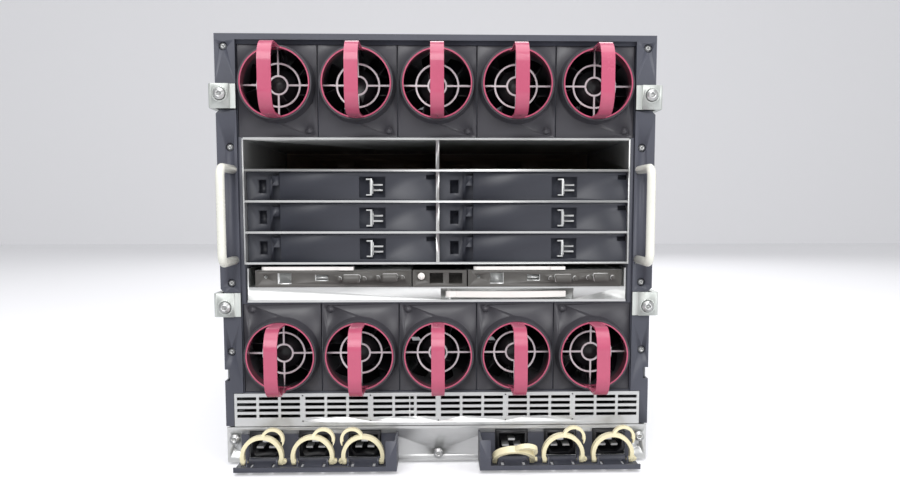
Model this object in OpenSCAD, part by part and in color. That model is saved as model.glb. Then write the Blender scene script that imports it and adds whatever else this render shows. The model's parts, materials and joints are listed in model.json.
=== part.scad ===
// Ten-rack-unit blade server chassis, seen from its rear side.
// X runs across, +Y runs from the rear face to the front bezel, +Z is up.
// The origin is at the middle of the underside. Depths are measured from the rear face.

/* [Enclosure] */
// Width over the side skins
case_w = 447; // [440:1:460]
// Depth from the rear face to the front bezel
case_d = 813; // [760:1:860]
// Thickness of the outer sheet metal
skin_t = 1.6; // [1:0.1:2.2]
// Width of each rear trim column
col_w = 20.5; // [18:0.5:24]
// Depth of the bent edges of the rear trim columns
col_d = 20; // [14:1:30]
// Thickness of the trim columns' plate
col_t = 2; // [1.2:0.1:3]

/* [Rows from the floor up] */
// Running clearance between sheet-metal parts and what slides between them
slide_gap = 0.3; // [0.2:0.05:0.5]
// Height of the mains input module
ac_h = 37.5; // [36:0.5:42]
// Height of the vent grille
grille_h = 34.8; // [32:0.2:40]
// Height of a fan module
fan_h = 92; // [90:0.5:100]
// Sheet between two rows of modules
row_sheet = 1.4; // [1:0.1:2]
// Height of the management sleeve
sleeve_h = 36.6; // [35:0.2:40]
// Free height above the management sleeve
sleeve_air = 3.9; // [2:0.1:6]
// Spacing of the interconnect shelves
bay_pitch = 31.75; // [30:0.25:36]
// Number of interconnect shelves in a column
bay_rows = 4; // [3:1:5]
// Free height above the upper fans' roof sheet
bar_gap = 2.6; // [1:0.2:5]
// Height of the top bar
bar_h = 6; // [4:0.5:10]

/* [Fan modules] */
// Number of fans in a row
fan_count = 5; // [5:1:5]
// Sheet between two fans
cell_sheet = 0.8; // [0.5:0.1:1.2]
// Depth of a fan module
fan_d = 190; // [150:5:200]
// Outer radius of the collar where it leaves the module's face
rim_r = 39.2; // [38:0.1:39.4]
// Outer radius of the collar's lip
lip_r = 36.6; // [35.5:0.1:37.5]
// Radius of the air duct
duct_r = 37; // [36:0.25:37]
// How far the collar stands out of the module's face
rim_out = 18; // [12:0.5:24]
// How far the collar's middle lies above the face's middle
rim_up = 6.4; // [4:0.1:6.6]
// Thickness of the collar's wall at its lip
rim_t = 1.3; // [1:0.1:1.6]
// Depth of the module's face behind the rear face
fan_face = 4; // [2:0.5:6]
// Depth of the finger guard behind the collar's lip
guard_in = 22.5; // [20:0.5:30]
// Thickness of the guard's bars
guard_t = 1.8; // [1.2:0.1:2.5]
// Middle radius of the guard's inner ring
guard_r1 = 9.2; // [8:0.1:11]
// Middle radius of the guard's outer ring
guard_r2 = 21.6; // [18:0.1:25]
// Depth of the carrying ring inside the collar
ring_d = 20; // [10:0.5:20]
// Thickness of the carrying ring
ring_t = 1.4; // [1.2:0.1:2]
// Thickness of the carrying strap
strap_t = 2.2; // [1.6:0.1:3]
// Width of the carrying strap
strap_w = 13; // [10:0.5:16]
// How far the strap arches out of the collar
strap_out = 48; // [34:1:56]
// Inner corner radius of the strap's arch
strap_r = 20; // [12:1:26]
// Radius of the rotor over its blades
rotor_r = 35.6; // [33:0.1:36]
// Radius of the rotor's hub
hub_r = 17; // [14:0.5:20]
// Depth of the rotor
rotor_d = 26; // [18:1:32]
// Number of rotor blades
blades = 7; // [5:1:9]
// Radius of the rotor's shaft
shaft_r = 2; // [1.5:0.1:3]
// Radial clearance of the rotor's shaft
shaft_gap = 0.05; // [0.02:0.01:0.08]

/* [Interconnect bays] */
// Depth of the rear bays up to the midplane
bay_d = 235; // [210:5:270]
// Thickness of a shelf
shelf_t = 1.2; // [0.8:0.1:1.6]
// Height of the turned-up lip of a shelf
lip_h = 2.2; // [1.6:0.1:3.5]
// Thickness of the middle wall between the bay columns
mid_wall = 3.2; // [2:0.1:5]
// Clearance between the outer bay walls and the columns' inner edges
bay_gap = 6; // [5:0.5:8]
// Thickness of the midplane board
board_t = 4; // [3:0.5:6]
// Depth of a filler panel
blank_d = 42; // [36:1:80]

/* [Management modules] */
// Clearance between the sleeve's inner end and the midplane
sleeve_gap = 9; // [6:1:30]
// Height of the sleeve's lower strip
strip_h = 15.5; // [13:0.1:17]
// Height of a management module
mod_h = 17.2; // [16:0.2:18.5]
// Clearance between the first module and the bay's left wall
mod_left = 9; // [7:0.5:12]
// Clearance between the second module and the bay's right wall
mod_right = 5.2; // [3:0.2:8]
// Clearance between the link module and its neighbours
link_gap = 1.4; // [1:0.1:2]
// Width of the link module
link_w = 56; // [50:0.5:60]
// Depth of the link module
link_d = 90; // [70:5:150]
// Thickness of the ejector levers
lever_t = 3.4; // [2.6:0.1:3.6]
// Length of a module's ejector lever
lever_l = 101; // [80:1:120]
// Radius of the ejector levers' pivot pins
pivot_r = 1.5; // [1.2:0.1:2]
// Radial clearance of the pivot pins
pivot_gap = 0.05; // [0.02:0.01:0.08]
// Radius of the link module's button
button_r = 3.6; // [3:0.1:4]

/* [Mains input] */
// Spacing of neighbouring inlets
inlet_pitch = 51.4; // [50:0.2:56]
// Distance of the outermost inlets' middles from the side skins
inlet_side = 43.5; // [40:0.5:48]
// Width of an inlet's body
inlet_w = 34; // [32:0.5:36]
// Height of an inlet's body
inlet_h = 28; // [26:0.5:30]
// Depth of the mains input module
ac_d = 110; // [80:5:140]
// Reach of the cable ledge out of the rear face
ledge_out = 40; // [34:1:50]
// Sheet thickness of the cable ledge
ledge_t = 2; // [1.4:0.1:3]
// Outer radius of a cable clamp's ring
clamp_r = 22; // [20:0.5:24]
// Radial thickness of a cable clamp's ring
clamp_t = 4; // [3:0.2:5]
// Width of a cable clamp's ring along its axis
clamp_w = 7; // [5:0.5:9]
// Radius of a cable clamp's hinge pin
clamp_pin = 1.5; // [1.2:0.1:1.8]
// How far the fourth clamp is tipped towards the back in degrees
tip_angle = 50; // [0:1:60]

/* [Lift handles] */
// Length of a lift handle's bar over its ends
grip_l = 101; // [90:1:120]
// Radius of the bar
grip_r = 4.3; // [3.5:0.1:5]
// Reach of the bar out of the columns
grip_out = 50; // [35:1:55]

/* [Front] */
// Height of a power supply
psu_h = 56; // [50:0.5:60]
// Number of power supplies
psu_count = 6; // [6:1:6]
// Depth of a power supply
psu_d = 400; // [300:5:440]
// Number of blade zones across the front
zones = 4; // [4:1:4]

/* [Hidden] */
$fn = 48;
eps = 0.01;
rear = -case_d / 2;
half_w = case_w / 2;
inner_w = half_w - col_w;               // columns' inner edges
cage_t = 1;                             // sheet of the rear cage's side walls
bay_span = 2 * (inner_w - bay_gap);     // width between the outer bay walls
sleeve_d = bay_d - sleeve_gap;          // depth of the sleeve
mod_w = (bay_span - mod_left - mod_right - link_w - 2 * link_gap) / 2;
inlet_x = half_w - inlet_side;          // middle of the outermost inlets
fan_pitch = 2 * (inner_w - cage_t) / fan_count;
fan_w = fan_pitch - cell_sheet - 2 * slide_gap;
// heights of the rows
z_ac = skin_t + slide_gap;
z_grille = z_ac + ac_h + 0.6;
z_fan_low = z_grille + grille_h + row_sheet + slide_gap;
z_sleeve = z_fan_low + fan_h + row_sheet + 2 * slide_gap;
z_bays = z_sleeve + sleeve_h + sleeve_air;          // top of the lowest shelf
z_bays_top = z_bays + bay_rows * bay_pitch;         // top of the highest shelf
z_fan_high = z_bays_top + row_sheet + slide_gap;
z_bar = z_fan_high + fan_h + slide_gap + row_sheet + bar_gap;
case_h = z_bar + bar_h;
z_mod = z_sleeve + strip_h + slide_gap;
shell_start = col_d;
block_h = 24.4;                          // cast cage blocks
block_out = 6.2;                         // their reach past the side skins
block_top_z = z_fan_high + 28;           // underside of the upper blocks
block_low_z = z_sleeve - 14.5;           // underside of the lower blocks
block_d = 26;
screw_x = half_w - 5.6;                  // the cage screws
low_col_cut = 10;                        // the grille reaches this far under the columns
grip_x = inner_w + 5;
grip_z = z_bays + 49.5;
grip_bend = 9;
board_w = bay_span - 2;
front_z = psu_h + 8;                     // floor of the blade zones
front_d = case_d - bay_d - board_t - 12; // depth of the blade zones
wall_t = 1.5;
bezel_d = 9;
clamp_axis_z = z_ac + 1.4 + ledge_t + 3.5;
clamp_axis_d = -ledge_out + 17;
clamp_foot_r = 3.2;
clamp_ring_z = clamp_axis_z + 6;
ledge_z = z_ac + 1.4;
ledge_in = inner_w - 161;                // inner end of each ledge
inlet_z = z_ac + 19.5;
ring_gap = 0.35;
ear_x = clamp_r - clamp_t - 2.7;         // middle of the ledge's ears, from a clamp's middle
ear_t = 1.6;
INLETS = [for (s = [-1, 1], k = [0:2]) s * (inlet_x - (s < 0 ? k : 2 - k) * inlet_pitch)];
mod_x = [-bay_span / 2 + mod_left, bay_span / 2 - mod_right - mod_w];   // left edges of the modules
link_x = mod_x[0] + mod_w + link_gap;
lane = board_w / 8 - 1;                  // spacing of the blades' sockets across the midplane

// ---------------------------------------------------------------- helpers

// A box from its limits across, in depth from the rear face, and in height
module slab(x, d, z) {
    translate([x[0], rear + d[0], z[0]]) cube([x[1] - x[0], d[1] - d[0], z[1] - z[0]]);
}

// A round bar along the depth, at a place across and a height
module rod(x, z, r, d) {
    translate([x, rear + d[1], z]) rotate([90, 0, 0]) cylinder(r = r, h = d[1] - d[0]);
}

// An outline drawn across and up, given a thickness in depth
module plate(d) {
    translate([0, rear + d[1], 0]) rotate([90, 0, 0]) linear_extrude(d[1] - d[0]) children();
}

// The same piece on the right side and, mirrored, on the left side
module both_sides() {
    children();
    mirror([1, 0, 0]) children();
}

// ---------------------------------------------------------------- enclosure

module enclosure_shell() color("#8d9093") {
    inner = half_w - skin_t;
    difference() {
        slab([-half_w, half_w], [shell_start, case_d], [0, case_h]);
        slab([-inner, inner], [shell_start - 1, case_d + 1], [skin_t, case_h - skin_t]);
    }
    // bezel round the front opening
    difference() {
        slab([-inner - eps, inner + eps], [case_d - bezel_d, case_d], [skin_t - eps, case_h - skin_t + eps]);
        slab([-inner + 2, inner - 2], [case_d - bezel_d - 1, case_d + 1], [front_z, case_h - skin_t - 5]);
        slab([-inner + 2, inner - 2], [case_d - bezel_d - 1, case_d + 1], [skin_t + 1.2, front_z - wall_t]);
    }
    // bulkhead between the zones and the rear, with slots for the air that the fans draw
    difference() {
        slab([-inner - eps, inner + eps], [case_d - front_d, case_d - front_d + wall_t],
             [skin_t - eps, case_h - skin_t + eps]);
        slab([-board_w / 2 + 8, board_w / 2 - 8], [case_d - front_d - 1, case_d - front_d + wall_t + 1],
             [z_sleeve + 14, z_bays_top - 8]);
        for (k = [0:7], low = [z_fan_low, z_fan_high], up = [12, 34, 56])
            slab([(k - 3.5 - 0.37) * lane, (k - 3.5 + 0.37) * lane],
                 [case_d - front_d - 1, case_d - front_d + wall_t + 1], [low + up, low + up + 5]);
    }
    // floor of the blade zones, and the walls between them
    slab([-inner - eps, inner + eps], [case_d - front_d, case_d - bezel_d + eps], [front_z - wall_t, front_z]);
    for (k = [1:zones - 1]) {
        x = -inner + k * 2 * inner / zones;
        slab([x - wall_t / 2, x + wall_t / 2], [case_d - front_d, case_d - 3], [front_z - eps, case_h - skin_t + eps]);
    }
}

module rear_cage() color("#3a3d46") {
    // top bar and roof sheet
    slab([-half_w, half_w], [0, shell_start], [z_bar, case_h]);
    slab([-inner_w, inner_w], [3, bay_d], [z_bar - bar_gap - row_sheet, z_bar - bar_gap]);
    slab([-inner_w, inner_w], [2, 3 + eps], [z_bar - bar_gap - row_sheet, z_bar + eps]);
    // floor and roof sheets of the fan rows
    for (z = [z_fan_high - slide_gap - row_sheet / 2, z_sleeve - slide_gap - row_sheet,
              z_fan_low - slide_gap - row_sheet])
        slab([-inner_w, inner_w], [3, bay_d], [z, z + (z > z_bays ? row_sheet / 2 : row_sheet)]);
    // side walls
    both_sides() {
        slab([inner_w - cage_t, inner_w], [3, bay_d], [z_fan_low - slide_gap - row_sheet, z_bar]);
        slab([bay_span / 2 + 1.7, inner_w - cage_t + eps], [3, bay_d],
             [z_sleeve - slide_gap, z_fan_high - slide_gap]);
    }
    // sheets between the fans
    for (k = [1:fan_count - 1], z = [z_fan_low, z_fan_high]) {
        x = (k - fan_count / 2) * fan_pitch;
        top = z == z_fan_low ? z_sleeve - slide_gap - row_sheet : z_bar - bar_gap - row_sheet;
        slab([x - cell_sheet / 2, x + cell_sheet / 2], [fan_face + 2, bay_d], [z - slide_gap - eps, top + eps]);
    }
}

// Face plate of one stretch of the right column, with its outer corners cut
module column_part(z0, z1, inner, outer, cut) {
    plate([0, col_t]) polygon([
        [inner, z0], [outer - cut, z0], [outer, z0 + cut],
        [outer, z1 - cut], [outer - cut, z1], [inner, z1]]);
    slab([inner, inner + col_t], [col_t - eps, col_d], [z0, z1]);
    slab([outer - col_t, outer], [col_t - eps, col_d], [z0 + cut, z1 - cut]);
}

module column_screw_seats(list) {
    for (p = list) rod(p[0], p[1], 4.4, [-1, col_t + 1]);
}

COLUMN_SCREWS = [
    [half_w - 8.6, z_bar - 6.5], [half_w - 13, z_fan_high - 10.5],
    [half_w - 11.2, z_bays - 20.5], [half_w - 9.4, z_fan_low + 42.5]];

module trim_columns() color("#42454f") both_sides() {
    notch_z = z_fan_low + 12;
    difference() {
        union() {
            column_part(block_top_z + block_h + 0.3, z_bar, inner_w, half_w, 0);
            column_part(block_low_z + block_h + 0.3, block_top_z - 0.9, inner_w, half_w, 4);
            column_part(z_grille + grille_h + 0.5, block_low_z - 0.3, inner_w, half_w - 2, 0);
            column_part(z_grille + 0.5, z_grille + grille_h + 0.5 + eps, inner_w + low_col_cut, half_w - 2, 0);
        }
        column_screw_seats(COLUMN_SCREWS);
        slab([half_w - 7, half_w + 1], [-1, col_d + 1], [notch_z, notch_z + 12]);
    }
    // recessed cups that carry the column screws
    for (p = COLUMN_SCREWS) difference() {
        rod(p[0], p[1], 5.2, [col_t, col_t + 3.4]);
        rod(p[0], p[1], 4.4, [col_t - eps, col_t + 2]);
    }
}

module lift_handles() color("#dcdcd4") both_sides() {
    low = grip_z - grip_l / 2 + grip_r;
    top = grip_z + grip_l / 2 - grip_r;
    room = grip_bend + grip_r + 1;
    // upright bar
    translate([grip_x, rear - grip_out, low + grip_bend]) cylinder(r = grip_r, h = top - low - 2 * grip_bend);
    // a bend and a leg at each end
    for (s = [-1, 1]) translate([grip_x, rear - grip_out + grip_bend, s > 0 ? top - grip_bend : low + grip_bend]) {
        intersection() {
            rotate([0, 90, 0]) rotate_extrude() translate([grip_bend, 0]) circle(grip_r);
            translate([-room, -room, s > 0 ? 0 : -room]) cube([2 * room, room, room]);
        }
        translate([0, 0, s * grip_bend]) rotate([-90, 0, 0]) cylinder(r = grip_r, h = grip_out - grip_bend);
    }
}

// A cast block that holds the rear cage to the enclosure, with its lower edge at z = 0
module cage_block(screw_up) {
    difference() {
        union() {
            slab([inner_w + 6, half_w + block_out], [-5, 0], [0, block_h]);
            slab([inner_w, inner_w + 6 + eps], [-2, 0], [0, block_h]);
            slab([half_w + 0.4, half_w + block_out], [-eps, block_d], [0, block_h]);
            rod(screw_x, screw_up, 8.2, [-6.5, -5 + eps]);
        }
        rod(screw_x, screw_up, 3, [-8, 1]);
        rod(screw_x, screw_up, 6.4, [-8, -5]);
        // cut outer edge
        translate([half_w + block_out, rear - 5, -1]) rotate([0, 0, 45])
            translate([-2, -2, 0]) cube([4, 4, block_h + 2]);
    }
    // web that closes the block against the enclosure's side skin
    slab([half_w, half_w + 0.4 + eps], [shell_start, block_d], [0, block_h]);
}

module cage_blocks() color("#c8ccc8") both_sides() {
    translate([0, 0, block_top_z]) cage_block(14);
    translate([0, 0, block_low_z]) cage_block(10);
}

// A round screw head with a slotted recess and a short shank behind it
module screw_head(x, z, r, head, shank, d) {
    difference() {
        union() {
            rod(x, z, r, [d - head, d]);
            rod(x, z, r * 0.62, [d - head - 1, d - head + eps]);
        }
        rod(x, z, r * 0.4, [d - head - 2, d - head]);
        slab([x - r * 0.5, x + r * 0.5], [d - head - 2, d - head + 0.6], [z - 0.5, z + 0.5]);
    }
    if (shank > 0) rod(x, z, shank, [d - eps, d + 3]);
}

module captive_screws() color("#d4d4d0") {
    both_sides() {
        for (z = [block_top_z + 14, block_low_z + 10]) screw_head(screw_x, z, 5.8, 4, 2.9, -5);
        for (p = COLUMN_SCREWS) screw_head(p[0], p[1], 3.3, 2, 0, col_t + 2);
    }
    for (p = THUMBSCREWS) screw_head(p[0], p[1], 5, 4.5, 2.4, -1);
}

THUMBSCREWS = [[-half_w + 11.2, z_ac + 25.5], [0, z_ac + 9], [half_w - 11.2, z_ac + 25.5]];

// ---------------------------------------------------------------- vent grille

module vent_grille() color("#d8d4d0") {
    outer = inner_w + low_col_cut - 0.4;
    thin = 2.8;
    wide = 5.5;
    groups = 6;
    per_group = 3;
    rows = 4;
    slot_z = grille_h * 0.095;
    pitch_z = grille_h * 0.178;
    group_w = 2 * outer / groups;
    slot_w = (group_w - wide - (per_group - 1) * thin) / per_group;
    difference() {
        union() {
            slab([-outer, outer], [0, 2], [z_grille, z_grille + grille_h]);
            // bent edges
            slab([-outer, outer], [2 - eps, 12], [z_grille + grille_h - 1.4, z_grille + grille_h]);
            slab([-outer, outer], [2 - eps, 12], [z_grille, z_grille + 1.4]);
        }
        for (g = [0:groups - 1], k = [0:per_group - 1], r = [0:rows - 1]) {
            x = -outer + g * group_w + wide / 2 + k * (slot_w + thin);
            z = z_grille + grille_h * 0.265 + r * pitch_z;
            slab([x, x + slot_w], [-1, 3], [z, z + slot_z]);
        }
        for (g = [1:groups - 1], z = [z_grille + grille_h * 0.15, z_grille + grille_h * 0.93])
            rod(-outer + g * group_w, z, 0.8, [-1, 3]);
    }
    // one stiffening rib behind the middle of the face
    slab([-30.5, -29.5], [2 - eps, 12], [z_grille + 1, z_grille + grille_h - 1]);
}

// ---------------------------------------------------------------- mains input

module ac_module() color("#d5d8d5") difference() {
    union() {
        slab([-half_w + 3, half_w - 3], [-1, 1], [z_ac, z_ac + ac_h]);
        slab([-half_w + 5, half_w - 5], [1 - eps, ac_d], [z_ac, z_ac + ac_h - 1]);
    }
    for (x = INLETS)
        slab([x - inlet_w / 2 - slide_gap, x + inlet_w / 2 + slide_gap], [-2, inlet_d + 4],
             [inlet_z - inlet_h / 2 - slide_gap, inlet_z + inlet_h / 2 + slide_gap]);
    for (p = THUMBSCREWS) rod(p[0], p[1], 2.6, [-2, 8]);
    for (s = [-1, 1]) rod(s * (half_w - 11.2), z_ac + 15, 1.3, [-2, 3]);
}

// Outline of a mains inlet's opening, with its lower corners cut
module inlet_outline(w, h, cut) {
    polygon([[-w / 2, h / 2], [-w / 2, -h / 2 + cut], [-w / 2 + cut, -h / 2],
             [w / 2 - cut, -h / 2], [w / 2, -h / 2 + cut], [w / 2, h / 2]]);
}

inlet_out = 5;          // reach of an inlet's collar
inlet_d = 36;           // depth of an inlet's body
inlet_hole_w = 27;
inlet_hole_h = 20;
inlet_hole_d = 17;
pin_w = 7;
pin_t = 2;
PIN_PLACES = [[0, 3.2], [-6.4, -3.2], [6.4, -3.2]];

module ac_inlets() color("#151517") for (x = INLETS) difference() {
    union() {
        slab([x - inlet_w / 2, x + inlet_w / 2], [-1.5, inlet_d], [inlet_z - inlet_h / 2, inlet_z + inlet_h / 2]);
        plate([-inlet_out, -1.5 + eps]) translate([x, inlet_z]) inlet_outline(inlet_w - 2, inlet_h - 3, 5);
    }
    plate([-inlet_out - 1, inlet_hole_d - inlet_out]) translate([x, inlet_z])
        inlet_outline(inlet_hole_w, inlet_hole_h, 5);
}

module inlet_pins() color("#c9c6bf") for (x = INLETS, p = PIN_PLACES)
    slab([x + p[0] - pin_w / 2, x + p[0] + pin_w / 2], [-inlet_out + 3, inlet_hole_d - inlet_out],
         [inlet_z + p[1] - pin_t / 2, inlet_z + p[1] + pin_t / 2]);

// The dark ledge under the three inlets of the right half, with the ears that carry its clamps
module cable_bracket() {
    outer = half_w - 18;
    ledge = [ledge_z, ledge_z + ledge_t];
    wall_x = [ledge_in, ledge_in + ledge_t];
    difference() {
        slab([ledge_in, outer], [-ledge_out, -1.2], ledge);
        for (x = [INLETS[3], INLETS[4], INLETS[5]], s = [-1, 1])
            slab([x + s * 11 - 1.6, x + s * 11 + 1.6], [-ledge_out + 4, -ledge_out + 26], [ledge[0] - 1, ledge[1] + 1]);
    }
    // front lip, inner end wall and the flange that faces the rear
    slab([ledge_in, outer], [-ledge_out, -ledge_out + ledge_t], [ledge_z, ledge_z + 5]);
    slab(wall_x, [-ledge_out, -1.2], [ledge_z, ledge_z + 31]);
    slab([ledge_in, ledge_in + 11], [-ledge_out, -ledge_out + ledge_t], [ledge_z, ledge_z + 31]);
    // back plate with a window round each inlet
    difference() {
        slab([ledge_in, outer], [-1.2 - ledge_t, -1.2], [ledge_z, ledge_z + 29]);
        for (x = [INLETS[3], INLETS[4], INLETS[5]])
            slab([x - inlet_w / 2 - 0.4, x + inlet_w / 2 + 0.4], [-5, 0], [inlet_z - inlet_h / 2 - 0.4, ledge_z + 30]);
    }
    // ears inside each clamp's feet
    for (x = [INLETS[3], INLETS[4], INLETS[5]], s = [-1, 1]) translate([x + s * ear_x - ear_t / 2, rear + clamp_axis_d, 0])
        difference() {
            union() {
                translate([0, -4, ledge[1] - eps]) cube([ear_t, 8, clamp_axis_z - ledge[1] + eps]);
                translate([0, 0, clamp_axis_z]) rotate([0, 90, 0]) cylinder(r = 4, h = ear_t);
            }
            translate([-1, 0, clamp_axis_z]) rotate([0, 90, 0]) cylinder(r = clamp_pin + pivot_gap, h = ear_t + 2);
        }
}

module cable_brackets() color("#3a383c") both_sides() cable_bracket();

// One cable clamp, upright, with its hinge axis along X through the origin
module clamp_form(turned) {
    up = clamp_ring_z - clamp_axis_z;
    inner_r = clamp_r - clamp_t;
    difference() {
        translate([0, clamp_w / 2, up]) rotate([90, 0, 0]) difference() {
            cylinder(r = clamp_r, h = clamp_w);
            translate([0, 0, -1]) cylinder(r = inner_r, h = clamp_w + 2);
        }
        translate([-clamp_r - 1, -clamp_w, -clamp_r * 2]) cube([2 * clamp_r + 2, 2 * clamp_w, clamp_r * 2]);
    }
    // hinge barrels with stub pins that turn in the ledge's ears
    foot = sqrt(clamp_r * clamp_r - up * up);
    foot_in = sqrt(inner_r * inner_r - up * up);
    for (s = [-1, 1]) {
        translate([s > 0 ? foot_in : -foot, 0, 0]) rotate([0, 90, 0]) cylinder(r = clamp_foot_r, h = foot - foot_in);
        translate([s > 0 ? ear_x - ear_t / 2 : -foot_in - eps, 0, 0]) rotate([0, 90, 0])
            cylinder(r = clamp_pin, h = foot_in + eps - ear_x + ear_t / 2);
    }
    // arched tail on one shoulder and a finger nub below it
    side = turned ? -1 : 1;
    translate([side * 11, clamp_w / 2 - 1, up + 17.5]) rotate([90, 0, 0]) difference() {
        cylinder(r = 12, h = clamp_w - 2);
        translate([0, 0, -1]) cylinder(r = 9, h = clamp_w);
        translate([side * -2 - 12, -24, -1]) cube([24, 22, clamp_w]);
        translate([side > 0 ? -14 : 4, -14, -1]) cube([10, 17, clamp_w]);
    }
    translate([side * (clamp_r + 0.6), 2, 0.8]) rotate([90, 0, 0]) cylinder(r = 2.4, h = 4);
}

module cable_clamp(i) color("#e5dcb8")
    translate([INLETS[i - 1], rear + clamp_axis_d, clamp_axis_z])
        rotate([i == 4 ? tip_angle : 0, 0, 0]) clamp_form(i == 3);

// ---------------------------------------------------------------- interconnect bays

module bay_shelves() color("#c9cbca") {
    side = bay_span / 2;
    for (k = [0:bay_rows]) {
        z = z_bays + k * bay_pitch;
        slab([-side, side], [1, bay_d], [z - shelf_t, z]);
        slab([-side, side], [0, 1 + eps], [z - shelf_t, z - shelf_t + lip_h]);
    }
    both_sides() slab([side - eps, side + 1.4], [0.4, bay_d], [z_bays - shelf_t, z_bays_top]);
    slab([-mid_wall / 2, mid_wall / 2], [0.4, bay_d], [z_bays - eps, z_bays_top + eps]);
}

module midplane() color("#5c4a3a") {
    slab([-board_w / 2, board_w / 2], [bay_d, bay_d + board_t], [z_sleeve + 1, z_bays_top]);
    // sockets for the interconnect modules
    for (s = [-1, 1], k = [0:bay_rows - 1], x = [0.15, 0.47, 0.74])
        slab([s * x * bay_span / 2 - 15, s * x * bay_span / 2 + 15], [bay_d - 9, bay_d + eps],
             [z_bays + k * bay_pitch + 9, z_bays + k * bay_pitch + 21]);
    // sockets for the blades on the front side
    for (k = [0:7], z = [z_sleeve + 22, z_bays + 78])
        slab([(k - 3.5) * lane - 7, (k - 3.5) * lane + 7], [bay_d + board_t - eps, bay_d + board_t + 11], [z, z + 46]);
}

blank_w = bay_span / 2 - mid_wall / 2 - 2 * slide_gap;
blank_h = bay_pitch - shelf_t - 2 * slide_gap;
blank_step = 35;         // width of the set-back end of a filler panel
latch_x = 116;           // the latch pocket, from the panel's left edge
latch_w = 27;
latch_z = 3.6;
latch_h = 21.5;
pocket_d = 7;

// One filler panel, from its lower left corner
module blank_form() {
    face = 4.4;
    difference() {
        slab([0, blank_w], [face, blank_d], [0, blank_h]);
        // set-back end with a slot for a finger
        slab([-1, blank_step], [face - 1, face + 7], [-1, blank_h + 1]);
        slab([11, 20], [face - 1, face + 18], [8, 22]);
        // latch pocket
        slab([latch_x, latch_x + latch_w], [face - 1, face + pocket_d], [latch_z, latch_z + latch_h]);
        // notch at the far end
        slab([blank_w - 10, blank_w + 1], [face - 1, face + 5], [blank_h - 8, blank_h - 3]);
        // hollow behind
        slab([2, blank_w - 2], [face + 22, blank_d + 1], [2, blank_h - 2]);
    }
    // raised tab beside the set-back end
    slab([blank_step - 8, blank_step - 0.5], [face + 1, face + 7 + eps], [blank_h - 14, blank_h - 4]);
    slab([blank_step - 11, blank_step - 8 + eps], [face + 3, face + 7 + eps], [2, blank_h - 3]);
}

module latch_form() {
    face = 4.4;
    back = face + pocket_d;
    bar_x = latch_x + 11;
    slab([bar_x, bar_x + 2], [back - 5, back], [latch_z + 2, latch_z + latch_h - 2]);
    for (z = [latch_z + 2, latch_z + latch_h - 3.4])
        slab([bar_x - 4, bar_x + eps], [back - 5, back], [z, z + 1.4]);
    for (z = [latch_z + latch_h / 2 + 1.5, latch_z + latch_h / 2 - 4])
        slab([bar_x + 3, bar_x + 13], [back - 4, back], [z, z + 1.6]);
    slab([bar_x + 2 - eps, bar_x + 3 + eps], [back - 2, back], [latch_z + 4, latch_z + latch_h - 4]);
}

// Places of the filler panels: both columns, three rows below the empty one
module at_blanks() {
    for (k = [0:bay_rows - 2], x = [-bay_span / 2 + slide_gap, mid_wall / 2 + slide_gap])
        translate([x, 0, z_bays + k * bay_pitch + slide_gap]) children();
}

module bay_blanks() color("#2e3038") at_blanks() blank_form();

module blank_latches() color("#b9bcc0") at_blanks() latch_form();

// ---------------------------------------------------------------- management

sleeve_side = bay_span / 2 - 0.9;        // outer faces of the sleeve
sleeve_t = 1.2;
strip_face = 2;                          // depth of the strip's face
lever_room = 11;                         // depth of the recess for the sleeve's lever
recess_x = [3, 0.36 * bay_span];
sleeve_pivot = [12, 6.4];

module management_sleeve() color("#b7b9ba") {
    top = z_sleeve + strip_h;
    difference() {
        slab([-sleeve_side, sleeve_side], [strip_face, sleeve_d], [z_sleeve, top]);
        slab([-sleeve_side + sleeve_t, sleeve_side - sleeve_t], [lever_room + 2 + sleeve_t, sleeve_d - sleeve_t],
             [z_sleeve + sleeve_t, top - sleeve_t]);
        slab(recess_x, [strip_face - 1, lever_room + 1], [z_sleeve + 2.4, top - 1.6]);
    }
    // lower lip
    slab([-sleeve_side, sleeve_side], [0, strip_face + eps], [z_sleeve, z_sleeve + 2.4]);
    // side walls beside the modules
    both_sides() slab([sleeve_side - sleeve_t, sleeve_side], [strip_face, sleeve_d], [top - eps, z_mod + mod_h + 2]);
    // pivot of the sleeve's lever
    translate([sleeve_pivot[0], rear + sleeve_pivot[1], z_sleeve + 2.4 - eps])
        cylinder(r = pivot_r + 0.3, h = strip_h - 4 + 2 * eps);
}

// A bowed lever that swings about its left end
module sleeve_lever() color("#e8e6e2") {
    reach = recess_x[1] - recess_x[0] - 17;
    bow = 330;
    low = z_sleeve + 4.6;
    high = 6.2;
    translate([sleeve_pivot[0], rear + sleeve_pivot[1], low]) difference() {
        union() {
            cylinder(r = 4, h = high);
            linear_extrude(high) intersection() {
                translate([reach / 2, bow - 7.5]) difference() {
                    circle(bow, $fn = 180);
                    circle(bow - 4, $fn = 180);
                }
                translate([2, -12]) square([reach - 2, 15]);
            }
            translate([0, -4, 0]) cube([7, 6, high]);
        }
        translate([0, 0, -1]) cylinder(r = pivot_r + 0.3 + pivot_gap, h = high + 2);
    }
}

jack_w = 14;
jack_h = 11.2;
jack_d = 14;

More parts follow.
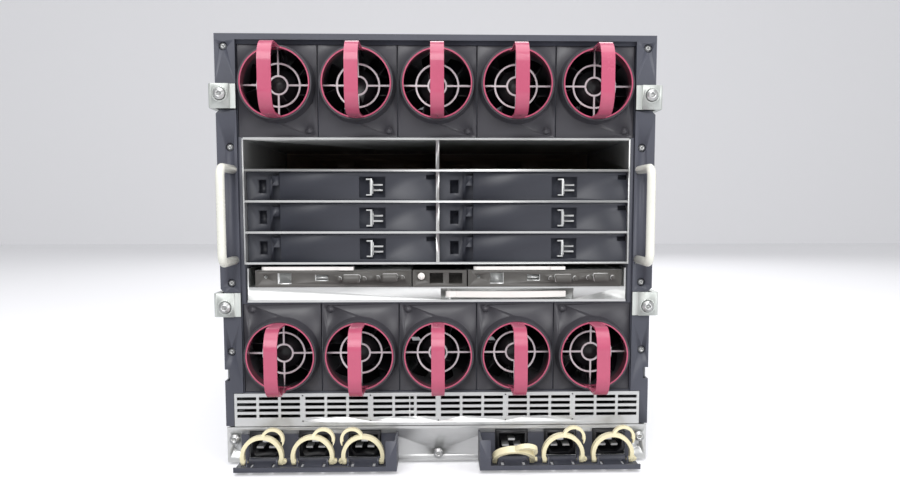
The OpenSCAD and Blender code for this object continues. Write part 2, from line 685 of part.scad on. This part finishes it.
// One management module, from its lower left corner
module module_form() {
    face = 1;
    jack_x = 0.187 * mod_w;
    bus_x = 0.425 * mod_w;
    bus_d = 12;
    difference() {
        slab([0, mod_w], [face, sleeve_d - 6], [0, mod_h]);
        // network jack, reset hole, serial bus socket
        slab([jack_x - jack_w / 2, jack_x + jack_w / 2], [face - 1, face + jack_d], [3.2, 3.2 + jack_h]);
        rod(jack_x - 19, mod_h - 6.6, 1.6, [face - 1, face + 8]);
        slab([bus_x - 6.75, bus_x + 6.75], [face - 1, face + bus_d], [6.4, 12.6]);
    }
    // tongue of the serial bus socket
    slab([bus_x - 5.65, bus_x + 5.65], [face + 2, face + bus_d + eps], [8.6, 10.2]);
    // nine-pin and display connector shells, with their screw posts
    for (c = [[0.617 * mod_w, 8.4], [0.863 * mod_w, 9.3]]) {
        plate([face - 5.5, face + eps]) translate([c[0], c[1]]) d_shell(c[1] > 9 ? 17 : 18.5, 9);
        for (s = [-1, 1]) rod(c[0] + s * 12.6, c[1], 2.6, [face - 4.5, face + eps]);
    }
    // pivot of the ejector lever
    translate([lever_in, rear + 5.5, mod_h - eps]) cylinder(r = pivot_r, h = lever_t + 0.3);
}

lever_in = 10;           // the lever's pivot, from the module's left edge

// A connector shell's outline, wider at the top, with round corners
module d_shell(w, h) {
    r = 2;
    hull() for (p = [[-w / 2 + r, h / 2 - r], [w / 2 - r, h / 2 - r],
                     [-w / 2 + r + 1.2, -h / 2 + r], [w / 2 - r - 1.2, -h / 2 + r]])
        translate(p) circle(r, $fn = 24);
}

module management_module(i) color("#4a4845") translate([mod_x[i - 1], 0, z_mod]) module_form();

module module_lever(i) color("#e8e6e2")
    translate([mod_x[i - 1] + lever_in, rear + 5.5, z_mod + mod_h + 0.2]) difference() {
        union() {
            cylinder(r = 4.2, h = lever_t);
            translate([0, -4.2, 0]) cube([lever_l - lever_in, 8.4, lever_t]);
            translate([lever_l - lever_in - 15, -6.4, 0]) cube([15, 10.6, lever_t]);
        }
        translate([0, 0, -1]) cylinder(r = pivot_r + pivot_gap, h = lever_t + 2);
        translate([9, -1.5, -1]) cube([lever_l - lever_in - 30, 3, lever_t + 2]);
    }

link_button_x = 0.16 * link_w;
link_button_z = 11;

module link_module() color("#4a4845") translate([link_x, 0, z_mod]) difference() {
    slab([0, link_w], [1, link_d], [0, mod_h]);
    for (x = [0.4375, 0.795] * link_w)
        slab([x - jack_w / 2, x + jack_w / 2], [0, 1 + jack_d], [3.2, 3.2 + jack_h]);
    rod(link_button_x, link_button_z, button_r + pivot_gap, [0, 7]);
}

module link_button() color("#2a2a2c") translate([link_x, 0, z_mod])
    rod(link_button_x, link_button_z, button_r, [-0.4, 5]);

// ---------------------------------------------------------------- fan modules

// Puts a fan module's piece in its cell: the lower row is turned upside down
module in_cell(i) {
    low_row = i > fan_count;
    k = low_row ? i - fan_count : i;
    translate([(k - (fan_count + 1) / 2) * fan_pitch, 0, (low_row ? z_fan_low : z_fan_high) + fan_h / 2])
        rotate([0, low_row ? 180 : 0, 0]) children();
}

// A taper round the duct's middle, from the module's face to a height over it
module collar(r_face, r_lip, out, over) {
    translate([0, rear + fan_face, rim_up]) rotate([90, 0, 0])
        translate([0, 0, -over]) cylinder(r1 = r_face, r2 = r_lip, h = out + 2 * over);
}

module fan_housing(i) color("#3a3c40") in_cell(i) {
    guard_d = fan_face - rim_out + guard_in;
    spider_d = guard_d + guard_t + 6 + rotor_d + 4;
    difference() {
        union() {
            slab([-fan_w / 2, fan_w / 2], [fan_face, fan_d], [-fan_h / 2, fan_h / 2]);
            // tapered collar round the duct
            collar(rim_r, lip_r, rim_out, 0);
        }
        collar(duct_r, lip_r - rim_t, rim_out, eps);
        rod(0, rim_up, duct_r, [fan_face - eps, fan_d + 1]);
        // groove round the round corner boss
        difference() {
            rod(31, -39.7, 4.8, [fan_face - 1, fan_face + 0.8]);
            rod(31, -39.7, 3.2, [fan_face - 2, fan_face + 2]);
        }
    }
    // finger guard: two rings on four bars
    for (r = [guard_r1, guard_r2]) difference() {
        rod(0, rim_up, r + guard_t / 2, [guard_d, guard_d + guard_t]);
        rod(0, rim_up, r - guard_t / 2, [guard_d - 1, guard_d + guard_t + 1]);
    }
    for (a = [0:90:270]) translate([0, 0, rim_up]) rotate([0, a, 0])
        slab([guard_r1, duct_r + 0.6], [guard_d, guard_d + guard_t], [-guard_t / 2, guard_t / 2]);
    // motor carrier behind the rotor, on three arms
    difference() {
        rod(0, rim_up, hub_r, [spider_d, spider_d + 14]);
        rod(0, rim_up, shaft_r + shaft_gap, [spider_d - 1, spider_d + 10]);
    }
    for (a = [30:120:270]) translate([0, 0, rim_up]) rotate([0, a, 0])
        slab([hub_r - 1, duct_r + 0.6], [spider_d + 4, spider_d + 12], [-2, 2]);
}

// Outline of the strap's arch in depth and height: a closed U with round corners
module arch_outline(reach, half, r) {
    translate([-reach + r, -half]) square([reach - r, 2 * half]);
    translate([-reach, -half + r]) square([reach, 2 * half - 2 * r]);
    for (s = [-1, 1]) translate([-reach + r, s * (half - r)]) circle(r);
}

module fan_handle(i) color("#b0506a") in_cell(i) {
    outer = lip_r - rim_t - ring_gap;
    back_r = duct_r - ring_gap - 0.2;        // outer radius at the ring's inner end
    front = fan_face - rim_out - 0.6;
    translate([0, rear + front, rim_up]) rotate([-90, 0, 0]) difference() {
        cylinder(r1 = outer, r2 = back_r, h = ring_d);
        translate([0, 0, -eps]) cylinder(r1 = outer - ring_t, r2 = back_r - ring_t, h = ring_d + 2 * eps);
    }
    // strap: its outline lies in depth and height
    intersection() {
        translate([-strap_w / 2, rear + front, rim_up]) rotate([90, 0, 90]) linear_extrude(strap_w) difference() {
            strap_outline(2, strap_out, outer, strap_r + strap_t);
            strap_outline(3, strap_out - strap_t, outer - strap_t, strap_r);
        }
        rod(0, rim_up, outer, [front - strap_out - 1, front + 2]);
    }
}

// The arch's outline, run on to a depth inside the ring
module strap_outline(inside, reach, half, r) {
    arch_outline(reach, half, r);
    translate([-eps, -half]) square([inside, 2 * half]);
}

module fan_rotor(i) color("#202124") in_cell(i) {
    d0 = fan_face - rim_out + guard_in + guard_t + 6;
    rod(0, rim_up, hub_r, [d0, d0 + rotor_d]);
    rod(0, rim_up, shaft_r, [d0 + rotor_d - eps, d0 + rotor_d + 12]);
    // pitched blades, trimmed by the duct's round
    intersection() {
        translate([0, rear + d0, rim_up]) for (k = [0:blades - 1])
            rotate([0, k * 360 / blades, 0]) translate([hub_r - 2, rotor_d / 2, 0]) rotate([38, 0, 0])
                translate([0, -rotor_d * 0.55, -0.7]) cube([rotor_r, rotor_d * 1.1, 1.4]);
        rod(0, rim_up, rotor_r, [d0 + 1, d0 + rotor_d - 1]);
    }
}

// ---------------------------------------------------------------- power supplies

module power_supplies() color("#9a9c9e") {
    inner = half_w - skin_t - 3;
    pitch = 2 * inner / psu_count;
    for (k = [0:psu_count - 1]) {
        x = -inner + k * pitch;
        difference() {
            slab([x + 0.5, x + pitch - 0.5], [case_d - psu_d, case_d - 6], [skin_t + slide_gap + 1, front_z - wall_t - 1]);
            // air slots
            for (j = [0:4])
                slab([x + 8, x + pitch - 26], [case_d - 12, case_d], [skin_t + 12 + j * 8, skin_t + 16 + j * 8]);
        }
        // pull handle: a bar on two feet
        for (z = [skin_t + 13, skin_t + 41])
            slab([x + pitch - 18, x + pitch - 14], [case_d - 6 - eps, case_d - 1], [z, z + 4]);
        slab([x + pitch - 19, x + pitch - 13], [case_d - 2.4, case_d], [skin_t + 12, skin_t + 46]);
    }
}

// ---------------------------------------------------------------- drawing

enclosure_shell();
rear_cage();
bay_shelves();
midplane();
trim_columns();
lift_handles();
cage_blocks();
captive_screws();
vent_grille();
ac_module();
ac_inlets();
inlet_pins();
cable_brackets();
bay_blanks();
blank_latches();
power_supplies();
management_sleeve();
sleeve_lever();
link_module();
link_button();
for (i = [1:2]) {
    management_module(i);
    module_lever(i);
}
for (i = [1:6]) cable_clamp(i);
for (i = [1:10]) {
    fan_housing(i);
    fan_handle(i);
    fan_rotor(i);
}
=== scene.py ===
"""Blade server chassis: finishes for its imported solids, and a stage to see its service side."""
import json
import math

import bmesh
import bpy
from mathutils import Matrix, Vector

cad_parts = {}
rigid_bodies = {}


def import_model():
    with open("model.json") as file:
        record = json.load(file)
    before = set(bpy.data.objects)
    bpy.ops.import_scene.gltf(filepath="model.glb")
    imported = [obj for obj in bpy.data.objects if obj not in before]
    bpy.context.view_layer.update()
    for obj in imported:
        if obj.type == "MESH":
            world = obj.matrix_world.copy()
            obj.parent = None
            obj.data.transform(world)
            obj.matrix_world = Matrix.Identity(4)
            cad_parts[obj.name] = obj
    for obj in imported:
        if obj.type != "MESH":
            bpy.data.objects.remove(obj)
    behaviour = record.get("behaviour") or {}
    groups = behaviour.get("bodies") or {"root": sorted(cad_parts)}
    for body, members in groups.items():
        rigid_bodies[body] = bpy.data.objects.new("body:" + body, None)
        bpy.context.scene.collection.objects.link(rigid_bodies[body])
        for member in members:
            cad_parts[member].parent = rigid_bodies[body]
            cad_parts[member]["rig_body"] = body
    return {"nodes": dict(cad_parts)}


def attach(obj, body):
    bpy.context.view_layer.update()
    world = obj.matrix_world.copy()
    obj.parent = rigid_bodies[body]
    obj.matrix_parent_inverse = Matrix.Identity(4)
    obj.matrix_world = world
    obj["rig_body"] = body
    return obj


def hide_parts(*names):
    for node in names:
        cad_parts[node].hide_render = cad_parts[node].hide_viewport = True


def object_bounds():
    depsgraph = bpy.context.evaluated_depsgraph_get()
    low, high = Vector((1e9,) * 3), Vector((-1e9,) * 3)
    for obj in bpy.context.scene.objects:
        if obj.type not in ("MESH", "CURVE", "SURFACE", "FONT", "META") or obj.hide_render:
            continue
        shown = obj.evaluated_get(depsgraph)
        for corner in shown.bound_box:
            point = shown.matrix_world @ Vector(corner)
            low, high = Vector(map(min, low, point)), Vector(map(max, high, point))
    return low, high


bl_info = {
    "name": "Blade Server Chassis",
    "version": (1, 0, 0),
    "blender": (4, 5, 0),
    "location": "3D View > Sidebar > Chassis",
    "description": "Gives the packed chassis its finishes and a stage",
    "category": "Object",
}

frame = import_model()
CAD_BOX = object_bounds()
MM = 0.001
METRE = 1000  # in mm
REAR = -406.5  # the service face, in mm along Y
FAN_PITCH = 80.8  # mm between fan centres
FAN_ROWS = (385.7, 122.5)  # heights of the fan centres, in mm
FANS_IN_ROW = 5
FAN_COUNT = 10
MERGE_DISTANCE = 0.00001  # vertices closer than this, in metres, are one
PATCH_SIZE = 45  # broad colour patches, in mm
FINE_SHARE = 0.35  # how much the grain counts beside the patches
GLOSS_SPREAD = 0.07  # roughness swings by this much either way
GUARD_REACH, GUARD_DEPTHS = 36.4, (8, 10.8)  # finger guard: outer radius and depths behind the face
RING_INNER, RING_FRONT = 33, -13.5  # carrying ring: inner radius and foremost depth
STRAP_HALF, STEEP = 8, 0.9  # half the strap's width with room, and a normal that faces the viewer
MODULE_FACE, FLAT_ON = 1.5, 0.5  # thickness of a module's painted face, and a normal that lies across it
CAMERA_SPOT = (0.00185, -1.2565, 0.2708)
CAMERA_YAW, CAMERA_PITCH = 0.0303, 0.0943
CAMERA_LENS, CAMERA_SHIFT = 32.93, (-0.0161, 0.0409)
NEAR_CLIP = 0.02
LAMP_TARGET_HEIGHT = 0.22
WORLD_STRENGTH = 0.45
GROUND_GAP = 0.0005  # the floor lies this far under the lowest point
CLAMP_COUNT = 6


# --- finishes ------------------------------------------------------------------------------------
def linear(code):
    """Turns an sRGB hex value into the linear colour that shaders take."""
    parts = [int(code[i:i + 2], 16) / 255 for i in (1, 3, 5)]
    return tuple(p / 12.92 if p <= 0.04045 else ((p + 0.055) / 1.055) ** 2.4 for p in parts) + (1.0,)


def add_node(tree, kind, settings=None, **inputs):
    """Adds one node, sets its options and fills or links its sockets by name."""
    made = tree.nodes.new(kind)
    for key, value in (settings or {}).items():
        setattr(made, key, value)
    for key, value in inputs.items():
        socket = made.inputs[int(key[1:]) if key[0] == "_" else key.replace("_", " ")]
        if isinstance(value, bpy.types.NodeSocket):
            tree.links.new(value, socket)
        else:
            socket.default_value = value
    return made


def finish(name, code, rough, metal=0.0, grain=0.8, depth=0.02, mottle=0.12, stretch=(1, 1, 1),
           cells=False):
    """A surface whose grain size is in mm: its colour, roughness and relief all vary with the grain."""
    made = bpy.data.materials.new(name)
    made.use_nodes = True
    tree = made.node_tree
    tree.nodes.clear()
    place = add_node(tree, "ShaderNodeTexCoord").outputs["Object"]
    place = add_node(tree, "ShaderNodeMapping", Vector=place, Scale=stretch).outputs["Vector"]
    if cells:
        fine = add_node(tree, "ShaderNodeTexVoronoi", Vector=place, Scale=METRE / grain).outputs["Color"]
    else:
        fine = add_node(tree, "ShaderNodeTexNoise", Vector=place, Scale=METRE / grain,
                        Detail=3.0).outputs["Fac"]
    broad = add_node(tree, "ShaderNodeTexNoise", Vector=place, Scale=METRE / PATCH_SIZE,
                     Detail=4.0).outputs["Fac"]
    base = linear(code)
    low = tuple(c * (1 - mottle) for c in base[:3]) + (1.0,)
    high = tuple(min(1.0, c * (1 + mottle)) for c in base[:3]) + (1.0,)
    both = add_node(tree, "ShaderNodeMath", {"operation": "MULTIPLY_ADD"},
                    _0=fine, _1=FINE_SHARE, _2=broad).outputs[0]
    span = add_node(tree, "ShaderNodeMapRange", Value=both, _1=0.35, _2=1.0, _3=0.0, _4=1.0).outputs[0]
    colour = add_node(tree, "ShaderNodeMix", {"data_type": "RGBA"}, _0=span, _6=low, _7=high).outputs[2]
    gloss = add_node(tree, "ShaderNodeMapRange", Value=both, _1=0.3, _2=1.1,
                     _3=max(0.04, rough - GLOSS_SPREAD), _4=rough + GLOSS_SPREAD).outputs[0]
    relief = add_node(tree, "ShaderNodeBump", Height=fine, Strength=0.35, Distance=depth * MM).outputs[0]
    shader = add_node(tree, "ShaderNodeBsdfPrincipled", Base_Color=colour, Roughness=gloss,
                      Metallic=metal, Normal=relief)
    add_node(tree, "ShaderNodeOutputMaterial", Surface=shader.outputs[0])
    return made


FINISHES = {}


def make_finishes(paint):
    """The finishes of the real parts, and a painted-shade copy of the rose plastic. Grain sizes are in mm,
    the finest drawn coarser so that they show.
    """
    FINISHES.update({
        # Powder coat over sheet steel: even, with a slight orange-peel ripple.
        "powder_coat": finish("powder_coat_dark", paint.columns, 0.46, 0.0, 1.6, 0.05),
        # Galvanised sheet: overlapping zinc crystals a few millimetres across.
        "galvanised": finish("galvanised_sheet", paint.shell, 0.42, 0.85, 6.0, 0.01, 0.1, cells=True),
        # Bright zinc-plated sheet with a fine rolled grain along X.
        "zinc_plate": finish("zinc_plated_sheet", paint.bright, 0.33, 0.75, 1.2, 0.01, 0.08, (0.06, 1, 1)),
        # Die-cast zinc, tumbled: soft sheen and fine pitting.
        "cast_zinc": finish("cast_zinc", paint.cast, 0.45, 0.55, 0.9, 0.03),
        # Moulded ABS with a spark-eroded texture.
        "abs_charcoal": finish("abs_charcoal", paint.fan, 0.40, 0.0, 0.7, 0.03),
        # Tinted ABS, polished in the mould: glossy touch points.
        "abs_rose": finish("abs_rose", paint.rose, 0.24, 0.0, 2.5, 0.01, 0.08),
        # Painted shade: the same rose plastic darkened on the carrying ring's inner walls that turn away from
        # the view, where they lie in shadow.
        "abs_rose_painted_shade": finish("abs_rose_painted_shade", "#6a3a46", 0.34, 0.0, 2.5, 0.01),
        # Painted steel wire of the finger guard: light and a little glossy.
        "guard_wire": finish("guard_wire", "#cfc6c9", 0.30, 0.35, 0.8, 0.01, 0.06),
        # White ABS of the levers: smooth, with a soft gloss.
        "abs_white": finish("abs_white", "#dedad6", 0.34, 0.0, 0.9, 0.01, 0.06),
        # Natural nylon: waxy cream.
        "nylon_cream": finish("nylon_cream", paint.clamp, 0.38, 0.0, 1.5, 0.02, 0.08),
        # Black moulded thermoplastic: even, with a fine eroded texture.
        "moulded_black": finish("moulded_black", "#141417", 0.42, 0.0, 0.8, 0.03),
        # Baked enamel on the lift handles: smooth and glossy.
        "handle_enamel": finish("handle_enamel", "#dcdcd2", 0.30, 0.0, 2.0, 0.02, 0.06),
        # Thin textured coat on the module faces.
        "module_coat": finish("module_coat", paint.module, 0.44, 0.0, 1.2, 0.03),
        # Glass-epoxy board with its solder coat: dull brown.
        "board": finish("glass_epoxy_board", "#5c4a3a", 0.5, 0.0, 2.0, 0.02),
        # Powder coat on the filler panels, darker and flatter than the columns.
        "filler": finish("filler_coat", "#2e3038", 0.45, 0.0, 1.4, 0.04),
    })


# --- shared shaping ------------------------------------------------------------------------------
def settle(shape, name, finishes, body, replaced=(), sharp=32):
    """Turns a bmesh into a named piece on its body, shaded smooth up to the sharp angle."""
    mesh = bpy.data.meshes.new(name)
    shape.to_mesh(mesh)
    shape.free()
    for key in finishes:
        mesh.materials.append(FINISHES[key])
    mesh.polygons.foreach_set("use_smooth", [True] * len(mesh.polygons))
    mesh.set_sharp_from_angle(angle=math.radians(sharp))
    piece = bpy.data.objects.new(name, mesh)
    bpy.context.scene.collection.objects.link(piece)
    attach(piece, body)
    if replaced:
        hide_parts(*replaced)
    return piece


def dressed(node, finishes, pick=None):
    """A merged copy of a solid's mesh that stands for it, with a finish chosen face by face."""
    shape = bmesh.new()
    shape.from_mesh(frame["nodes"][node].data)
    bmesh.ops.remove_doubles(shape, verts=shape.verts, dist=MERGE_DISTANCE)
    for face in shape.faces:
        spot = face.calc_center_median() / MM
        face.material_index = pick(spot, face.normal) if pick else 0
    return settle(shape, node + "_finished", finishes, frame["nodes"][node]["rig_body"], (node,))


def cell(index):
    """Centre (x, z) in mm of a fan's cell."""
    row, column = divmod(index - 1, FANS_IN_ROW)
    return (column - 2) * FAN_PITCH, FAN_ROWS[row]


# --- operators -----------------------------------------------------------------------------------
class ChassisPaint(bpy.types.PropertyGroup):
    columns: bpy.props.StringProperty(
        name="Columns", description="Powder coat of the columns, hex", default="#42444e")
    shell: bpy.props.StringProperty(
        name="Shell", description="Galvanised outer shell, hex", default="#8d9093")
    bright: bpy.props.StringProperty(
        name="Bright sheet", description="Zinc-plated sheet, hex", default="#cdcecd")
    cast: bpy.props.StringProperty(
        name="Cast blocks", description="Cast zinc blocks, hex", default="#c8ccc8")
    fan: bpy.props.StringProperty(
        name="Fan housings", description="Moulded fan housings, hex", default="#3c3b40")
    rose: bpy.props.StringProperty(
        name="Touch points", description="Fan straps and grips, hex", default="#b0506a")
    clamp: bpy.props.StringProperty(
        name="Cord clamps", description="Nylon cord clamps, hex", default="#e5dcb8")
    module: bpy.props.StringProperty(
        name="Modules", description="Module faces, hex", default="#4a4845")


class ChassisStage(bpy.types.PropertyGroup):
    key_power: bpy.props.FloatProperty(name="Key light", description="Power of the front light", default=26.0,
                                       min=1, max=200, subtype="POWER")
    floor_size: bpy.props.FloatProperty(name="Floor size", description="Side of the floor", default=9.0,
                                        min=2, max=30, unit="LENGTH")


SOLIDS = {
    "enclosure_shell": (("galvanised",), "shell_steel"),
    "rear_cage": (("powder_coat",), "painted_steel"),
    "bay_shelves": (("zinc_plate",), "bright_steel"),
    "midplane": (("board",), "circuit_board"),
    "trim_columns": (("powder_coat",), "painted_steel"),
    "lift_handles": (("handle_enamel",), "handle_paint"),
    "cage_blocks": (("cast_zinc",), "cast_alloy"),
    "captive_screws": (("zinc_plate",), "bright_steel"),
    "vent_grille": (("zinc_plate",), "bright_steel"),
    "ac_module": (("zinc_plate",), "bright_steel"),
    "ac_inlets": (("moulded_black",), "black_plastic"),
    "inlet_pins": (("zinc_plate",), "bright_steel"),
    "cable_brackets": (("powder_coat",), "painted_steel"),
    "bay_blanks": (("filler",), "painted_steel"),
    "blank_latches": (("zinc_plate",), "bright_steel"),
    "power_supplies": (("galvanised",), "shell_steel"),
    "management_sleeve": (("zinc_plate",), "bright_steel"),
    "sleeve_lever": (("abs_white",), "white_plastic"),
    "link_module": (("module_coat",), "module_paint"),
    "link_button": (("abs_white",), "white_plastic"),
}


class CHASSIS_OT_body(bpy.types.Operator):
    """Finishes the enclosure, cage, shelves, modules and clamps."""
    bl_idname = "chassis.body"
    bl_label = "Enclosure and Modules"

    def execute(self, context):
        make_finishes(context.scene.chassis_paint)
        for node, (finishes, slot) in SOLIDS.items():
            dressed(node, finishes)
        for side in (1, 2):
            dressed(f"management_module_{side}", ("module_coat", "zinc_plate"),
                    lambda spot, normal: int(spot.y > REAR + MODULE_FACE or abs(normal.y) < FLAT_ON))
            dressed(f"module_lever_{side}", ("abs_white",))
        for index in range(1, CLAMP_COUNT + 1):
            dressed(f"cable_clamp_{index}", ("nylon_cream",))
        return {"FINISHED"}


class CHASSIS_OT_fans(bpy.types.Operator):
    """Finishes the ten fans: housing, finger guard, carrying ring, strap and rotor."""
    bl_idname = "chassis.fans"
    bl_label = "Fans"

    def execute(self, context):
        for index in range(1, FAN_COUNT + 1):
            x, z = cell(index)

            def housing(spot, normal):
                reach = math.hypot(spot.x - x, spot.z - z)
                return int(reach < GUARD_REACH and REAR + GUARD_DEPTHS[0] < spot.y < REAR + GUARD_DEPTHS[1])

            # Painted shade: carrying-ring faces off the strap that turn away from the view get the darkened
            # rose plastic, as if in shadow.
            def handle(spot, normal):
                reach = math.hypot(spot.x - x, spot.z - z)
                turned_into_shade = abs(normal.y) < STEEP and abs(spot.x - x) > STRAP_HALF
                return int(reach > RING_INNER and spot.y > REAR + RING_FRONT and turned_into_shade)

            dressed(f"fan_housing_{index}", ("abs_charcoal", "guard_wire"), housing)
            dressed(f"fan_handle_{index}", ("abs_rose", "abs_rose_painted_shade"), handle)
            dressed(f"fan_rotor_{index}", ("moulded_black",))
        return {"FINISHED"}


class CHASSIS_OT_stage(bpy.types.Operator):
    """Sets the floor, backdrop, lights and camera."""
    bl_idname = "chassis.stage"
    bl_label = "Stage"

    def execute(self, context):
        scene, look = context.scene, context.scene.chassis_stage
        scene.view_settings.view_transform = "Standard"
        pale = bpy.data.materials.new("pale_backdrop")
        pale.use_nodes = True
        tree = pale.node_tree
        tree.nodes.clear()
        seen = add_node(tree, "ShaderNodeLightPath")
        matte = add_node(tree, "ShaderNodeBsdfPrincipled", Base_Color=linear("#d9d9dc"), Roughness=0.8)
        glow = add_node(tree, "ShaderNodeEmission", Color=linear("#f2f2f4"), Strength=0.35)
        mixed = add_node(tree, "ShaderNodeMixShader", _0=seen.outputs["Is Camera Ray"], _1=matte.outputs[0])
        both = add_node(tree, "ShaderNodeAddShader", _0=matte.outputs[0], _1=glow.outputs[0])
        tree.links.new(both.outputs[0], mixed.inputs[2])
        add_node(tree, "ShaderNodeOutputMaterial", Surface=mixed.outputs[0])
        half = look.floor_size / 2
        ground = CAD_BOX[0].z - GROUND_GAP
        for name, turn, spot in (("floor", 0, (0, 0, ground)), ("backdrop", 90, (0, half, ground + half))):
            place = Matrix.Translation(spot) @ Matrix.Rotation(math.radians(turn), 4, "X")
            shape = bmesh.new()
            bmesh.ops.create_grid(shape, x_segments=2, y_segments=2, size=half, matrix=place)
            mesh = bpy.data.meshes.new(name)
            shape.to_mesh(mesh)
            shape.free()
            mesh.materials.append(pale)
            plane = bpy.data.objects.new(name, mesh)
            scene.collection.objects.link(plane)
        target = Vector((0, REAR * MM, LAMP_TARGET_HEIGHT))
        for name, spot, size, power in (
            ("key_light", (-0.5, -2.6, 1.9), 1.8, look.key_power * 2.2),
            ("fill_light", (1.9, -1.9, 0.9), 1.6, look.key_power),
            ("top_light", (0.0, -0.6, 2.4), 2.0, look.key_power * 1.4),
            ("back_light", (0.4, 2.4, 1.9), 2.0, look.key_power * 1.2),
        ):
            lamp = bpy.data.lights.new(name, "AREA")
            lamp.size = size
            lamp.energy = power
            holder = bpy.data.objects.new(name, lamp)
            holder.location = spot
            holder.rotation_euler = (target - Vector(spot)).to_track_quat("-Z", "Y").to_euler()
            scene.collection.objects.link(holder)
        world = bpy.data.worlds.new("studio_air")
        world.use_nodes = True
        world.node_tree.nodes["Background"].inputs["Color"].default_value = linear("#e8e9ec")
        world.node_tree.nodes["Background"].inputs["Strength"].default_value = WORLD_STRENGTH
        scene.world = world
        yaw, pitch = CAMERA_YAW, CAMERA_PITCH
        ahead = Vector((math.sin(yaw) * math.cos(pitch), math.cos(yaw) * math.cos(pitch), -math.sin(pitch)))
        right = Vector((math.cos(yaw), -math.sin(yaw), 0))
        up = right.cross(ahead)
        lens = bpy.data.cameras.new("camera")
        lens.lens = CAMERA_LENS
        lens.shift_x, lens.shift_y = CAMERA_SHIFT
        lens.clip_start = NEAR_CLIP
        camera = bpy.data.objects.new("camera", lens)
        turn = Matrix((right, up, -ahead)).transposed().to_4x4()
        camera.matrix_world = Matrix.Translation(CAMERA_SPOT) @ turn
        scene.collection.objects.link(camera)
        scene.camera = camera
        return {"FINISHED"}


class CHASSIS_PT_panel(bpy.types.Panel):
    bl_idname = "CHASSIS_PT_panel"
    bl_label = "Blade Server Chassis"
    bl_space_type = "VIEW_3D"
    bl_region_type = "UI"
    bl_category = "Chassis"

    def draw(self, context):
        for group in (context.scene.chassis_paint, context.scene.chassis_stage):
            for key in group.__annotations__:
                self.layout.prop(group, key)
        for step in STEPS:
            self.layout.operator(step.bl_idname)


STEPS = (CHASSIS_OT_body, CHASSIS_OT_fans, CHASSIS_OT_stage)
GROUPS = {"chassis_paint": ChassisPaint, "chassis_stage": ChassisStage}


def register():
    for kind in (*GROUPS.values(), *STEPS, CHASSIS_PT_panel):
        bpy.utils.register_class(kind)
    for key, kind in GROUPS.items():
        setattr(bpy.types.Scene, key, bpy.props.PointerProperty(type=kind))


def unregister():
    for key in GROUPS:
        delattr(bpy.types.Scene, key)
    for kind in (CHASSIS_PT_panel, *reversed(STEPS), *GROUPS.values()):
        bpy.utils.unregister_class(kind)


def main():
    register()
    for step in STEPS:
        group, name = step.bl_idname.split(".")
        getattr(getattr(bpy.ops, group), name)()


if __name__ == "__main__":
    main()
